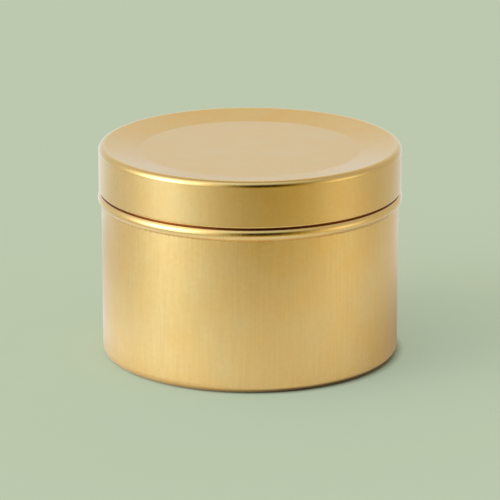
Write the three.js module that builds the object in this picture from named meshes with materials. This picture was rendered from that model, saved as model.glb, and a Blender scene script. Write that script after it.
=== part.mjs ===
// Round candle tin: a drawn, seamless tin with a drawn slip-on lid. Millimetres, +Z up.
// The origin is the centre of the base, on the surface that the tin stands on.
// Each piece is one round of sheet metal pressed to shape. It is described by the middle line of
// its sheet: a list of corners [radius, height, bend radius], from the centre outwards.

import * as THREE from "three";

// Sheet metal
const SHEET = 0.28;
const HALF_SHEET = SHEET / 2;

// Lid
const LID_RADIUS = 38.5;
const TOTAL_HEIGHT = 54.5;
const LID_EDGE_HEIGHT = 42.8;
const LID_CREST_RADIUS = 36.9;
const LID_CREST_BEND = 1.3;
const LID_PANEL_RADIUS = 28;
const LID_PANEL_HEIGHT = 53.1;
const LID_PANEL_BEND = 1.2;

// Tin
const LID_CLEARANCE = 0.35;
const WALL_RADIUS = LID_RADIUS - SHEET - LID_CLEARANCE;
const BASE_CORNER_BEND = 1.8;
const BASE_PANEL_RADIUS = 33;
const BASE_PANEL_RECESS = 0.9;
const BASE_PANEL_BEND = 0.8;
const BEAD_HEIGHT = 40.8;
const BEAD_REACH = 1.55;
const BEAD_BEND = 1.45;
const BEAD_LOWER_SLOPE = THREE.MathUtils.degToRad(50);
const BEAD_LOWER_BEND = 0.25;
const BEAD_UPPER_SLOPE = THREE.MathUtils.degToRad(45);
const BEAD_UPPER_BEND = 1.2;
const RIM_HEIGHT = 53.65;
const RIM_CURL = 1.1;
const RIM_CURL_BEND = 0.5;
const RIM_CURL_GAP = 0.3;

// Fineness of the round surfaces
const SIDES = 64;
const BEND_STEP = THREE.MathUtils.degToRad(30);

// Gold lacquer on tinplate
const GOLD = { color: 0xcaa15c, roughness: 0.38, metalness: 1 };

// The direction to the left of a direction of travel.
function leftOf(way) {
  return new THREE.Vector2(-way.y, way.x);
}

// The middle line of a sheet with its corners bent round: points, each with its normal to the left.
// A corner without a bend is an end of the sheet.
function bentLine(corners) {
  const points = corners.map(([radius, height]) => new THREE.Vector2(radius, height));
  const ways = points.slice(1).map((point, i) => point.clone().sub(points[i]).normalize());
  const line = [{ at: points[0], normal: leftOf(ways[0]) }];
  for (let i = 1; i < ways.length; i++) {
    const bend = corners[i][2];
    const turn = Math.atan2(ways[i - 1].cross(ways[i]), ways[i - 1].dot(ways[i]));
    const reach = bend * Math.tan(Math.abs(turn) / 2);
    const toCentre = bend * Math.sign(turn);
    const centre = points[i]
      .clone()
      .addScaledVector(ways[i - 1], -reach)
      .addScaledVector(leftOf(ways[i - 1]), toCentre);
    const steps = Math.ceil(Math.abs(turn) / BEND_STEP);
    for (let step = 0; step <= steps; step++) {
      const way = ways[i - 1].clone().rotateAround(new THREE.Vector2(), (turn * step) / steps);
      const at = centre.clone().addScaledVector(leftOf(way), -toCentre);
      line.push({ at, normal: leftOf(way) });
    }
  }
  line.push({ at: points.at(-1), normal: leftOf(ways.at(-1)) });
  return line;
}

// A round piece of sheet metal. Its outline runs outwards along the right-hand face of the middle
// line, across the cut edge, and back to the axis along the left-hand face.
function pressedRound(name, corners) {
  const line = bentLine(corners);
  const face = (offset) =>
    line.map(({ at, normal }) => at.clone().addScaledVector(normal, offset));
  const outline = [...face(-HALF_SHEET), ...face(HALF_SHEET).reverse()];
  const mesh = new THREE.Mesh(
    new THREE.LatheGeometry(outline, SIDES),
    new THREE.MeshStandardMaterial(GOLD),
  );
  mesh.name = name;
  mesh.rotation.x = Math.PI / 2;
  return mesh;
}

// The tin: a recessed base panel inside a flat standing ring, a straight wall, a bead rolled
// outwards just under the lid, the neck that the lid slips over, and a rim curled inwards.
// The bead's slopes lean from the wall by their angles and would meet in a corner that reaches
// out from the wall. Its upper slope runs into the neck in a wide hollow bend.
function tinBody() {
  const wall = WALL_RADIUS - HALF_SHEET;
  const panel = BASE_PANEL_RECESS + HALF_SHEET;
  const rim = RIM_HEIGHT - HALF_SHEET;
  const beadFoot = BEAD_HEIGHT - BEAD_REACH / Math.tan(BEAD_LOWER_SLOPE);
  const beadTop = BEAD_HEIGHT + BEAD_REACH / Math.tan(BEAD_UPPER_SLOPE);
  return pressedRound("tin_body", [
    [0, panel],
    [BASE_PANEL_RADIUS, panel, BASE_PANEL_BEND],
    [BASE_PANEL_RADIUS + BASE_PANEL_RECESS, HALF_SHEET, BASE_PANEL_BEND],
    [wall, HALF_SHEET, BASE_CORNER_BEND],
    [wall, beadFoot, BEAD_LOWER_BEND],
    [wall + BEAD_REACH, BEAD_HEIGHT, BEAD_BEND],
    [wall, beadTop, BEAD_UPPER_BEND],
    [wall, rim, RIM_CURL_BEND],
    [wall - RIM_CURL, rim, RIM_CURL_BEND],
    [wall - RIM_CURL, rim - RIM_CURL, RIM_CURL_BEND],
    [wall - HALF_SHEET - RIM_CURL_GAP, rim - RIM_CURL],
  ]);
}

// The lid: a flat sunken panel, a shallow cone that rises from it to a rounded crest, and a
// straight skirt that ends just above the tin's bead.
function lid() {
  const skirt = LID_RADIUS - HALF_SHEET;
  const panel = LID_PANEL_HEIGHT - HALF_SHEET;
  const crest = TOTAL_HEIGHT - HALF_SHEET;
  return pressedRound("lid", [
    [0, panel],
    [LID_PANEL_RADIUS, panel, LID_PANEL_BEND],
    [LID_CREST_RADIUS, crest, LID_CREST_BEND],
    [skirt, crest, LID_CREST_BEND],
    [skirt, LID_EDGE_HEIGHT],
  ]);
}

const candleTin = new THREE.Group();
candleTin.add(tinBody(), lid());

export default candleTin;
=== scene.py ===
import math

import bpy
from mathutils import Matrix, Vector


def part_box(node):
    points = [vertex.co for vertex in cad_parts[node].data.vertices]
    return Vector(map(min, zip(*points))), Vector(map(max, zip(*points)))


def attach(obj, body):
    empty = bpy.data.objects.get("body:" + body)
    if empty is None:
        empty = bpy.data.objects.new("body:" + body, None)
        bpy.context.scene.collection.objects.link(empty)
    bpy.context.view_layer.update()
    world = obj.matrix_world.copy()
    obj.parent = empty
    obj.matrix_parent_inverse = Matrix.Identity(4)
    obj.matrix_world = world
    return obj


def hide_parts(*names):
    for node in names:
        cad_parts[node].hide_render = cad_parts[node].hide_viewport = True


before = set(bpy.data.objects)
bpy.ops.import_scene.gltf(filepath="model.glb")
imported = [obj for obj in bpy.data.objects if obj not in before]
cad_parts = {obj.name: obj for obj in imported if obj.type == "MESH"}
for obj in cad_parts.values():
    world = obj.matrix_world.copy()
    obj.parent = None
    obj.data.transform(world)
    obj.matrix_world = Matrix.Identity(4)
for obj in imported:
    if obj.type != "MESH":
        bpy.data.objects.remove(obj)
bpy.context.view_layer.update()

MM = 0.001
LID_LOW, LID_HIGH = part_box("lid")
_, TIN_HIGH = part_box("tin_body")

# Sheet metal
SHEET = 0.28 * MM
HALF_SHEET = SHEET / 2
SIDES = 192
BEND_STEP = math.radians(7.5)
STRAIGHT_STEP = 1.5 * MM
BEND_MARGIN = 0.25 * MM
POLISHED_BEND = 3 * MM
CUT_EDGE_STEPS = 6
AXIS_TOLERANCE = 1e-9

# Lid
LID_RADIUS = LID_HIGH.x
TOTAL_HEIGHT = LID_HIGH.z
LID_EDGE_HEIGHT = LID_LOW.z
LID_CREST_RADIUS = 36.9 * MM
LID_CREST_BEND = 1.3 * MM
LID_PANEL_RADIUS = 28 * MM
LID_PANEL_HEIGHT = 53.1 * MM
LID_PANEL_BEND = 4.5 * MM
LID_EDGE_TURN_IN = 0.16 * MM
LID_EDGE_BEND = 0.3 * MM

# Tin
LID_CLEARANCE = 0.35 * MM
WALL_RADIUS = LID_RADIUS - SHEET - LID_CLEARANCE
RIM_HEIGHT = TIN_HIGH.z
BASE_CORNER_BEND = 1.8 * MM
BASE_PANEL_RADIUS = 33 * MM
BASE_PANEL_RECESS = 0.9 * MM
BASE_PANEL_BEND = 0.8 * MM
BEAD_HEIGHT = 40.8 * MM
BEAD_REACH = 1.55 * MM
BEAD_BEND = 1.45 * MM
BEAD_LOWER_SLOPE = math.radians(50)
BEAD_LOWER_BEND = 0.25 * MM
BEAD_UPPER_SLOPE = math.radians(45)
BEAD_UPPER_BEND = 1.2 * MM
RIM_CURL = 1.1 * MM
RIM_CURL_BEND = 0.5 * MM
RIM_CURL_GAP = 0.3 * MM


# ---------------------------------------------------------------- camera and stage

CAMERA_DISTANCE = 0.8338
CAMERA_ELEVATION = math.radians(16.4)
CAMERA_TARGET_HEIGHT = 26.14 * MM
CAMERA_CLIP_START = 10 * MM
CAMERA_LENS_MM = 234.3
SENSOR_MM = 36


def make_camera():
    """The camera looks along +Y and a little down on the tin."""
    data = bpy.data.cameras.new("camera")
    data.lens = CAMERA_LENS_MM
    data.sensor_width = SENSOR_MM
    data.clip_start = CAMERA_CLIP_START
    camera = bpy.data.objects.new("camera", data)
    back = Vector((0, -math.cos(CAMERA_ELEVATION), math.sin(CAMERA_ELEVATION)))
    camera.location = Vector((0, 0, CAMERA_TARGET_HEIGHT)) + back * CAMERA_DISTANCE
    camera.rotation_euler = (-back).to_track_quat("-Z", "Y").to_euler()
    bpy.context.scene.collection.objects.link(camera)
    bpy.context.scene.camera = camera


# ---------------------------------------------------------------- pressed sheet metal


def left_of(way):
    return Vector((-way.y, way.x))


def turned(way, angle):
    c, s = math.cos(angle), math.sin(angle)
    return Vector((c * way.x - s * way.y, s * way.x + c * way.y))


def bent_line(corners):
    """The middle line of a sheet through corners (radius, height, bend radius).

    Gives rows (point, direction, polished by a tight bend); the first and last corner are ends
    without a bend."""
    points = [Vector(corner[:2]) for corner in corners]
    ways = [(b - a).normalized() for a, b in zip(points, points[1:])]
    rows = [(points[0], ways[0], 0.0)]
    for i in range(1, len(ways)):
        bend = corners[i][2]
        before, after = ways[i - 1], ways[i]
        turn = math.atan2(before.x * after.y - before.y * after.x, before.dot(after))
        to_centre = math.copysign(bend, turn)
        start = points[i] - before * bend * math.tan(abs(turn) / 2)
        centre = start + left_of(before) * to_centre
        rows += straight(rows[-1][0], start)
        steps = max(2, math.ceil(abs(turn) / BEND_STEP))
        for step in range(steps + 1):
            way = turned(before, turn * step / steps)
            rows.append((centre - left_of(way) * to_centre, way, float(bend < POLISHED_BEND)))
    rows += straight(rows[-1][0], points[-1])
    rows.append((points[-1], ways[-1], 0.0))
    return rows


def straight(start, end):
    """The rows strictly between two points of a straight stretch. The first and last are just off
    its ends, so that what marks a bend stays on the bend."""
    run = end - start
    way = run.normalized()
    if run.length < 3 * BEND_MARGIN:
        return [(start + run / 2, way, 0.0)]
    first, last = start + way * BEND_MARGIN, end - way * BEND_MARGIN
    steps = math.ceil(run.length / STRAIGHT_STEP)
    return [(first.lerp(last, k / steps), way, 0.0) for k in range(steps + 1)]


def sheet_outline(corners):
    """The outline of the sheet's section, from the axis along its right-hand face, round its cut
    edge and back along its left-hand face: rows (point, normal, on a bend)."""
    line = bent_line(corners)
    right = [(p - left_of(w) * HALF_SHEET, -left_of(w), bend) for p, w, bend in line]
    left = [(p + left_of(w) * HALF_SHEET, left_of(w), bend) for p, w, bend in reversed(line)]
    end, way, _ = line[-1]
    edge = []
    for step in range(1, CUT_EDGE_STEPS):
        out = turned(-left_of(way), math.pi * step / CUT_EDGE_STEPS)
        edge.append((end + out * HALF_SHEET, out, 1.0))
    return right + edge + left


def pressed_round(name, corners):
    """A round piece of sheet metal, closed all over, with the true normals of its bends."""
    outline = sheet_outline(corners)
    vertices, normals, bends, rings, faces = [], [], [], [], []
    for point, normal, bend in outline:
        on_axis = point.x < AXIS_TOLERANCE
        ring = []
        for side in range(1 if on_axis else SIDES):
            c, s = math.cos(math.tau * side / SIDES), math.sin(math.tau * side / SIDES)
            ring.append(len(vertices))
            vertices.append((point.x * c, point.x * s, point.y))
            normals.append((normal.x * c, normal.x * s, normal.y))
            bends.append(bend)
        rings.append(ring)
    for low, high in zip(rings, rings[1:]):
        for side in range(SIDES):
            after = (side + 1) % SIDES
            if len(low) == 1:
                faces.append((low[0], high[after], high[side]))
            elif len(high) == 1:
                faces.append((low[side], low[after], high[0]))
            else:
                faces.append((low[side], low[after], high[after], high[side]))
    mesh = bpy.data.meshes.new(name)
    mesh.from_pydata(vertices, [], faces)
    mesh.shade_smooth()
    mesh.normals_split_custom_set_from_vertices(normals)
    attribute = mesh.attributes.new("bend", "FLOAT", "POINT")
    attribute.data.foreach_set("value", bends)
    piece = bpy.data.objects.new(name, mesh)
    bpy.context.scene.collection.objects.link(piece)
    return piece


def make_tin():
    """The tin: recessed base panel, standing ring, wall, bead, neck and inward rim curl."""
    wall = WALL_RADIUS - HALF_SHEET
    panel = BASE_PANEL_RECESS + HALF_SHEET
    rim = RIM_HEIGHT - HALF_SHEET
    bead_foot = BEAD_HEIGHT - BEAD_REACH / math.tan(BEAD_LOWER_SLOPE)
    bead_top = BEAD_HEIGHT + BEAD_REACH / math.tan(BEAD_UPPER_SLOPE)
    return pressed_round("tin_shell", [
        (0, panel),
        (BASE_PANEL_RADIUS, panel, BASE_PANEL_BEND),
        (BASE_PANEL_RADIUS + BASE_PANEL_RECESS, HALF_SHEET, BASE_PANEL_BEND),
        (wall, HALF_SHEET, BASE_CORNER_BEND),
        (wall, bead_foot, BEAD_LOWER_BEND),
        (wall + BEAD_REACH, BEAD_HEIGHT, BEAD_BEND),
        (wall, bead_top, BEAD_UPPER_BEND),
        (wall, rim, RIM_CURL_BEND),
        (wall - RIM_CURL, rim, RIM_CURL_BEND),
        (wall - RIM_CURL, rim - RIM_CURL, RIM_CURL_BEND),
        (wall - HALF_SHEET - RIM_CURL_GAP, rim - RIM_CURL),
    ])


def make_lid():
    """The lid: sunken panel, shallow cone, rounded crest, skirt and its slightly turned edge."""
    skirt = LID_RADIUS - HALF_SHEET
    panel = LID_PANEL_HEIGHT - HALF_SHEET
    crest = TOTAL_HEIGHT - HALF_SHEET
    return pressed_round("lid_shell", [
        (0, panel),
        (LID_PANEL_RADIUS, panel, LID_PANEL_BEND),
        (LID_CREST_RADIUS, crest, LID_CREST_BEND),
        (skirt, crest, LID_CREST_BEND),
        (skirt, LID_EDGE_HEIGHT + HALF_SHEET + LID_EDGE_TURN_IN, LID_EDGE_BEND),
        (skirt - LID_EDGE_TURN_IN, LID_EDGE_HEIGHT + HALF_SHEET),
    ])


# ---------------------------------------------------------------- materials

# Gold lacquer over tinplate
GOLD = (0.945, 0.622, 0.2, 1)
GOLD_PALE = (0.925, 0.663, 0.255, 1)
BARE_TINPLATE = (0.78, 0.74, 0.62, 1)
COAT_WEIGHT = 0.5
COAT_ROUGHNESS = 0.15
FLAT_ROUGHNESS = 0.33
BEND_ROUGHNESS = 0.23

# The lid's gold is a little darker, with weaker streaks
LID_SHADE = 0.94
LID_STREAK_STRENGTH = 0.4

# Grain and wear of the rolled sheet: the size of each noise along X, Y and Z, and its detail
STREAKS = (0.5 * MM, 0.5 * MM, 14 * MM), 3
MOTTLE = (1.1 * MM, 1.1 * MM, 1.1 * MM), 3
CLOUD = (9 * MM, 9 * MM, 9 * MM), 1
WEAR = (0.35 * MM, 0.35 * MM, 0.35 * MM), 2
GRAIN_DEPTH = 0.01 * MM

# How strongly the noises change the tone between the two golds, the brightness, the roughness and
# the height of the surface
MIDDLE_TONE = 0.5
CLOUD_TONE = 1.8
MOTTLE_TONE = 0.6
STREAK_BRIGHTNESS = 0.14
MOTTLE_BRIGHTNESS = 0.08
STREAK_ROUGHNESS = 0.12
MOTTLE_ROUGHNESS = 0.08
WORN_ROUGHNESS = 0.3
STREAK_HEIGHT = 0.6
MOTTLE_HEIGHT = 0.5
CLOUD_HEIGHT = 4

# The wear noise where a bend begins to be worn and where it is worn most, and how much that is
WORN_RANGE = (0.12, 0.3)
WORN_MOST = 0.22

# Painted shade: dark colour in the hollow between the bead and the neck, and a little in the crease under
# it
HOLLOW_SHADE_COLOUR = (0.16, 0.045, 0.01, 1)
HOLLOW_SHADE_ROUGHNESS = 0.2
HOLLOW_SHADE_FADE = 0.12 * MM
HOLLOW = (BEAD_HEIGHT + 1.42 * MM, BEAD_HEIGHT + 2.3 * MM)
CREASE = (BEAD_HEIGHT - 1.42 * MM, BEAD_HEIGHT - 1.18 * MM)
CREASE_SHADE_AMOUNT = 0.22


def new_material(name):
    """A material with a Principled shader: the material, its node tree and the shader."""
    material = bpy.data.materials.new(name)
    material.use_nodes = True
    return material, material.node_tree, material.node_tree.nodes["Principled BSDF"]


def node(tree, kind, inputs, output=0, **settings):
    """Adds a node and gives its output. inputs holds a value or another node's output by socket."""
    new = tree.nodes.new("ShaderNode" + kind)
    for name, value in settings.items():
        setattr(new, name, value)
    for socket, value in inputs.items():
        if isinstance(value, bpy.types.NodeSocket):
            tree.links.new(value, new.inputs[socket])
        else:
            new.inputs[socket].default_value = value
    return new.outputs[output]


def maths(tree, operation, *values):
    return node(tree, "Math", dict(enumerate(values)), operation=operation)


def vector_maths(tree, operation, *values, output=0):
    return node(tree, "VectorMath", dict(enumerate(values)), output, operation=operation)


def scaled(tree, vector, scale):
    """A vector or colour times a number."""
    return node(tree, "VectorMath", {0: vector, "Scale": scale}, operation="SCALE")


def ramp(tree, value, start, end, first=0, last=1, run="LINEAR"):
    """first where the value is below start, last where it is above end, and a run in between."""
    inputs = {0: value, 1: start, 2: end, 3: first, 4: last}
    return node(tree, "MapRange", inputs, interpolation_type=run)


def mix(tree, factor, first, second):
    """A colour between first, at factor 0, and second, at factor 1."""
    return node(tree, "Mix", {0: factor, 6: first, 7: second}, 2, data_type="RGBA")


def noise(tree, place, size, detail):
    """Noise from about -0.5 to 0.5 with features of a size along X, Y and Z."""
    cell = vector_maths(tree, "DIVIDE", place, size)
    value = node(tree, "TexNoise", {"Vector": cell, "Scale": 1, "Detail": detail})
    return maths(tree, "SUBTRACT", value, 0.5)


def weighted_sum(tree, start, *terms):
    """start plus each (output, weight) of terms."""
    total = start
    for value, weight in terms:
        total = maths(tree, "ADD", maths(tree, "MULTIPLY", value, weight), total)
    return total


def band(tree, value, start, end, fade):
    """1 where the value lies from start to end, falling smoothly to 0 over a fade on either side."""
    risen = ramp(tree, value, start - fade, start, 0, 1, "SMOOTHSTEP")
    not_fallen = ramp(tree, value, end, end + fade, 1, 0, "SMOOTHSTEP")
    return maths(tree, "MULTIPLY", risen, not_fallen)


def painted_hollow_shade(tree, place):
    """How dark the painted shade in the hollow and the crease on the outside of the tin is, from 0 to 1."""
    height = node(tree, "SeparateXYZ", {"Vector": place}, "Z")
    radius = vector_maths(tree, "LENGTH", vector_maths(tree, "MULTIPLY", place, (1, 1, 0)), output=1)
    hollow = band(tree, height, *HOLLOW, HOLLOW_SHADE_FADE)
    crease = band(tree, height, *CREASE, HOLLOW_SHADE_FADE)
    dark = weighted_sum(tree, 0, (hollow, 1), (crease, CREASE_SHADE_AMOUNT))
    outside = maths(tree, "GREATER_THAN", radius, WALL_RADIUS - HALF_SHEET)
    return maths(tree, "MULTIPLY", dark, outside)


def gold(name, shade, streak_strength, hollows_shaded):
    """Gold lacquered tinplate: rolling streaks, fine mottling, broad unevenness, polished bends and
    a little wear along them."""
    material, tree, shader = new_material(name)
    place = node(tree, "TexCoord", {}, "Object")
    bend = node(tree, "Attribute", {}, "Fac", attribute_name="bend")
    streaks = maths(tree, "MULTIPLY", noise(tree, place, *STREAKS), streak_strength)
    mottle = noise(tree, place, *MOTTLE)
    cloud = noise(tree, place, *CLOUD)
    worn = ramp(tree, noise(tree, place, *WEAR), *WORN_RANGE, 0, WORN_MOST)
    worn = maths(tree, "MULTIPLY", worn, bend)

    tone = weighted_sum(tree, MIDDLE_TONE, (cloud, CLOUD_TONE), (mottle, MOTTLE_TONE))
    brightness = weighted_sum(tree, shade, (streaks, STREAK_BRIGHTNESS), (mottle, MOTTLE_BRIGHTNESS))
    colour = scaled(tree, mix(tree, tone, GOLD, GOLD_PALE), brightness)
    colour = mix(tree, worn, colour, BARE_TINPLATE)

    flat = maths(tree, "SUBTRACT", 1, bend)
    polish = weighted_sum(tree, BEND_ROUGHNESS, (flat, FLAT_ROUGHNESS - BEND_ROUGHNESS))
    roughness = weighted_sum(
        tree, polish, (streaks, STREAK_ROUGHNESS), (mottle, MOTTLE_ROUGHNESS), (worn, WORN_ROUGHNESS)
    )
    # Painted shade: the hollow over the bead and the crease under it get a dark colour, more roughness and
    # less coat
    if hollows_shaded:
        dark = painted_hollow_shade(tree, place)
        colour = mix(tree, dark, colour, HOLLOW_SHADE_COLOUR)
        roughness = weighted_sum(tree, roughness, (dark, HOLLOW_SHADE_ROUGHNESS))
        coat = weighted_sum(tree, COAT_WEIGHT, (dark, -COAT_WEIGHT))
        tree.links.new(coat, shader.inputs["Coat Weight"])
    tree.links.new(colour, shader.inputs["Base Color"])
    tree.links.new(roughness, shader.inputs["Roughness"])

    height = weighted_sum(tree, 0, (streaks, STREAK_HEIGHT), (mottle, MOTTLE_HEIGHT), (cloud, CLOUD_HEIGHT))
    bump = node(tree, "Bump", {"Strength": 1, "Distance": GRAIN_DEPTH, "Height": height})
    tree.links.new(bump, shader.inputs["Normal"])

    shader.inputs["Metallic"].default_value = 1
    shader.inputs["Coat Weight"].default_value = COAT_WEIGHT
    shader.inputs["Coat Roughness"].default_value = COAT_ROUGHNESS
    return material


# ---------------------------------------------------------------- stage and light

# The floor, and the backdrop that the camera sees. A pair gives the distances from the axis at
# which a change begins and ends.
STAGE_SIZE = 8
STAGE_COLOUR = (0.369, 0.414, 0.292, 1)
STAGE_GLOW = (0.176, 0.204, 0.149, 1)
STAGE_GLOW_NEAR = (0.168, 0.215, 0.172, 1)
STAGE_GLOW_NEAR_FADE = (45 * MM, 85 * MM)
STAGE_GLOW_START = (36 * MM, 38.3 * MM)
STAGE_SHADOW_LEAN = (1.4 * MM, 0, 0)
BACKDROP_COLOUR = (0.503, 0.584, 0.423, 1)

# The mirrored sheet, with pairs as above. Its lit and its shady side are azimuths, as for the lights.
SHEET_COLOUR = (0.8, 0.8, 0.8)
SHEET_EDGE = (110 * MM, 170 * MM)
SHEET_MARGIN = 1.05
SHEET_SIDES = 64
SHEET_LIFT = 0.01 * MM
SHEET_NEAR = (40 * MM, 110 * MM)
SHEET_CONTACT = (38 * MM, 50 * MM)
SHEET_UNDER = (37.8 * MM, 38.9 * MM)
SHEET_UNDER_SHADE = 0.7
SHEET_FAR = (90 * MM, 150 * MM)
SHEET_LIT_SIDE = -75
SHEET_GLOW = (0.15, 0.25, 0.42, 1)
SHEET_FAR_SHADE = 0.35
SHEET_SHADY_SIDE = 140
SHEET_SHADE = (0.35, 0.43, 0.6)

# Light of the studio by direction. Azimuth 0 is behind the camera and 90 to its right, and the
# spread is the angle over which a light fades; a negative strength is a dark flag.
AMBIENT = (0.52, 0.505, 0.49)
SOFT_LIGHTS = (
    # azimuth, elevation, spread, red, green, blue
    (-67, 14, 11, 3.6, 3.7, 4.0),
    (-65, 26, 22, 1.5, 1.55, 1.7),
    (73, 3, 12.5, 0.7, 0.68, 0.68),
    (190, -20, 28, 0.36, 0.52, 0.74),
    (0, 70, 21, 0.3, 0.42, 0.58),
    (180, 72, 18, -0.28, -0.27, -0.22),
    (180, 44, 19, 0.23, 0.153, -0.01),
    (8, 25, 21, -0.75, -0.75, -0.85),
    (-60, 0, 20, 0, 0.15, 0.4),
    (36, -33, 50, 0, -0.07, -0.3),
)

# The floor gets a flatter light than the metal mirrors, so that the shadow stays soft.
FLOOR_LIGHT_SHARE = 0.55
FLOOR_FILL = (0.45, 0.47, 0.49)


def towards(azimuth, elevation):
    """The direction of a light, from angles in degrees."""
    a, e = math.radians(azimuth), math.radians(elevation)
    return Vector((math.sin(a) * math.cos(e), -math.cos(a) * math.cos(e), math.sin(e)))


def studio_light():
    """Soft light all round, from a smooth sky of a few broad lights; the camera sees none of it."""
    world = bpy.data.worlds.new("world")
    bpy.context.scene.world = world
    world.use_nodes = True
    tree = world.node_tree
    direction = node(tree, "TexCoord", {}, "Generated")
    light = AMBIENT
    for azimuth, elevation, spread, *colour in SOFT_LIGHTS:
        facing = vector_maths(tree, "DOT_PRODUCT", direction, towards(azimuth, elevation), output=1)
        sharpness = 1 / math.radians(spread) ** 2
        power = maths(tree, "MULTIPLY_ADD", facing, sharpness, -sharpness)
        glow = scaled(tree, colour, maths(tree, "EXPONENT", power))
        light = vector_maths(tree, "ADD", light, glow)
    light = vector_maths(tree, "MAXIMUM", light, (0, 0, 0))
    floor_light = scaled(tree, light, FLOOR_LIGHT_SHARE)
    floor_light = vector_maths(tree, "ADD", floor_light, FLOOR_FILL)
    diffuse = node(tree, "LightPath", {}, "Is Diffuse Ray")
    light = mix(tree, diffuse, light, floor_light)
    seen = node(tree, "LightPath", {}, "Is Camera Ray")
    shown = mix(tree, seen, light, BACKDROP_COLOUR)
    tree.links.new(shown, tree.nodes["Background"].inputs["Color"])


def stage_floor():
    """The plain pale floor, which glows a little except right under the tin, so that its shadow is
    light; the dark patch leans away from the key light. The tin mirrors the white sheet that it
    stands on instead."""
    material, tree, shader = new_material("floor")
    shader.inputs["Base Color"].default_value = STAGE_COLOUR
    shader.inputs["Roughness"].default_value = 1
    shader.inputs["Specular IOR Level"].default_value = 0
    place = node(tree, "NewGeometry", {}, "Position")
    radius = vector_maths(tree, "LENGTH", place, output=1)
    leaning = vector_maths(tree, "SUBTRACT", place, STAGE_SHADOW_LEAN)
    patch = vector_maths(tree, "LENGTH", leaning, output=1)
    glow = ramp(tree, patch, *STAGE_GLOW_START)
    tree.links.new(glow, shader.inputs["Emission Strength"])
    away = ramp(tree, radius, *STAGE_GLOW_NEAR_FADE)
    tree.links.new(mix(tree, away, STAGE_GLOW_NEAR, STAGE_GLOW), shader.inputs["Emission Color"])
    bpy.ops.mesh.primitive_plane_add(size=STAGE_SIZE)
    floor = bpy.context.object
    floor.name = "floor"
    floor.data.materials.append(material)
    floor.visible_glossy = False


def mirrored_sheet():
    """A round white sheet under the tin with a soft edge, which only reflections show. Close to the
    tin it is lit from the left of the camera and in shade behind the tin on the right. Against the
    base it is dark on the side away from that light."""
    material, tree, shader = new_material("white_sheet")
    shader.inputs["Roughness"].default_value = 1
    shader.inputs["Specular IOR Level"].default_value = 0
    place = node(tree, "NewGeometry", {}, "Position")
    radius = vector_maths(tree, "LENGTH", place, output=1)
    alpha = ramp(tree, radius, *SHEET_EDGE, 1, 0, "SMOOTHSTEP")
    tree.links.new(alpha, shader.inputs["Alpha"])

    outwards = vector_maths(tree, "NORMALIZE", place)
    near = ramp(tree, radius, *SHEET_NEAR, 1, 0)
    far = ramp(tree, radius, *SHEET_FAR)
    lit = vector_maths(tree, "DOT_PRODUCT", outwards, towards(SHEET_LIT_SIDE, 0), output=1)
    lit = maths(tree, "MAXIMUM", lit, 0)
    shady = vector_maths(tree, "DOT_PRODUCT", outwards, towards(SHEET_SHADY_SIDE, 0), output=1)
    shady = maths(tree, "MULTIPLY", maths(tree, "MAXIMUM", shady, 0), near)
    kept = vector_maths(tree, "SUBTRACT", (1, 1, 1), scaled(tree, SHEET_SHADE, shady))
    far_lit = maths(tree, "MULTIPLY", lit, far)
    under = ramp(tree, radius, *SHEET_UNDER, 1, 0)
    under = maths(tree, "MULTIPLY", under, maths(tree, "SUBTRACT", 1, lit))
    darker = weighted_sum(tree, 0, (far_lit, SHEET_FAR_SHADE), (under, SHEET_UNDER_SHADE))
    colour = vector_maths(tree, "MULTIPLY", kept, SHEET_COLOUR)
    colour = scaled(tree, colour, maths(tree, "SUBTRACT", 1, darker))
    tree.links.new(colour, shader.inputs["Base Color"])
    clear = ramp(tree, radius, *SHEET_CONTACT)
    glow = maths(tree, "MULTIPLY", maths(tree, "MULTIPLY", lit, near), clear)
    tree.links.new(glow, shader.inputs["Emission Strength"])
    shader.inputs["Emission Color"].default_value = SHEET_GLOW
    bpy.ops.mesh.primitive_circle_add(
        vertices=SHEET_SIDES, radius=SHEET_EDGE[1] * SHEET_MARGIN, fill_type="NGON"
    )
    sheet = bpy.context.object
    sheet.name = "white_sheet"
    sheet.location.z = SHEET_LIFT
    sheet.data.materials.append(material)
    sheet.visible_camera = False
    sheet.visible_diffuse = False
    sheet.visible_shadow = False


make_camera()
# Only the tin gets the painted shade in its hollow and crease
for make_piece, node_name, body, shade, streak_strength, hollows_shaded in (
    (make_tin, "tin_body", "tin", 1, 1, True),
    (make_lid, "lid", "lid", LID_SHADE, LID_STREAK_STRENGTH, False),
):
    piece = make_piece()
    piece.data.materials.append(gold(body + "_gold", shade, streak_strength, hollows_shaded))
    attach(piece, body)
    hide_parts(node_name)
stage_floor()
mirrored_sheet()
studio_light()
bpy.context.scene.view_settings.view_transform = "Standard"
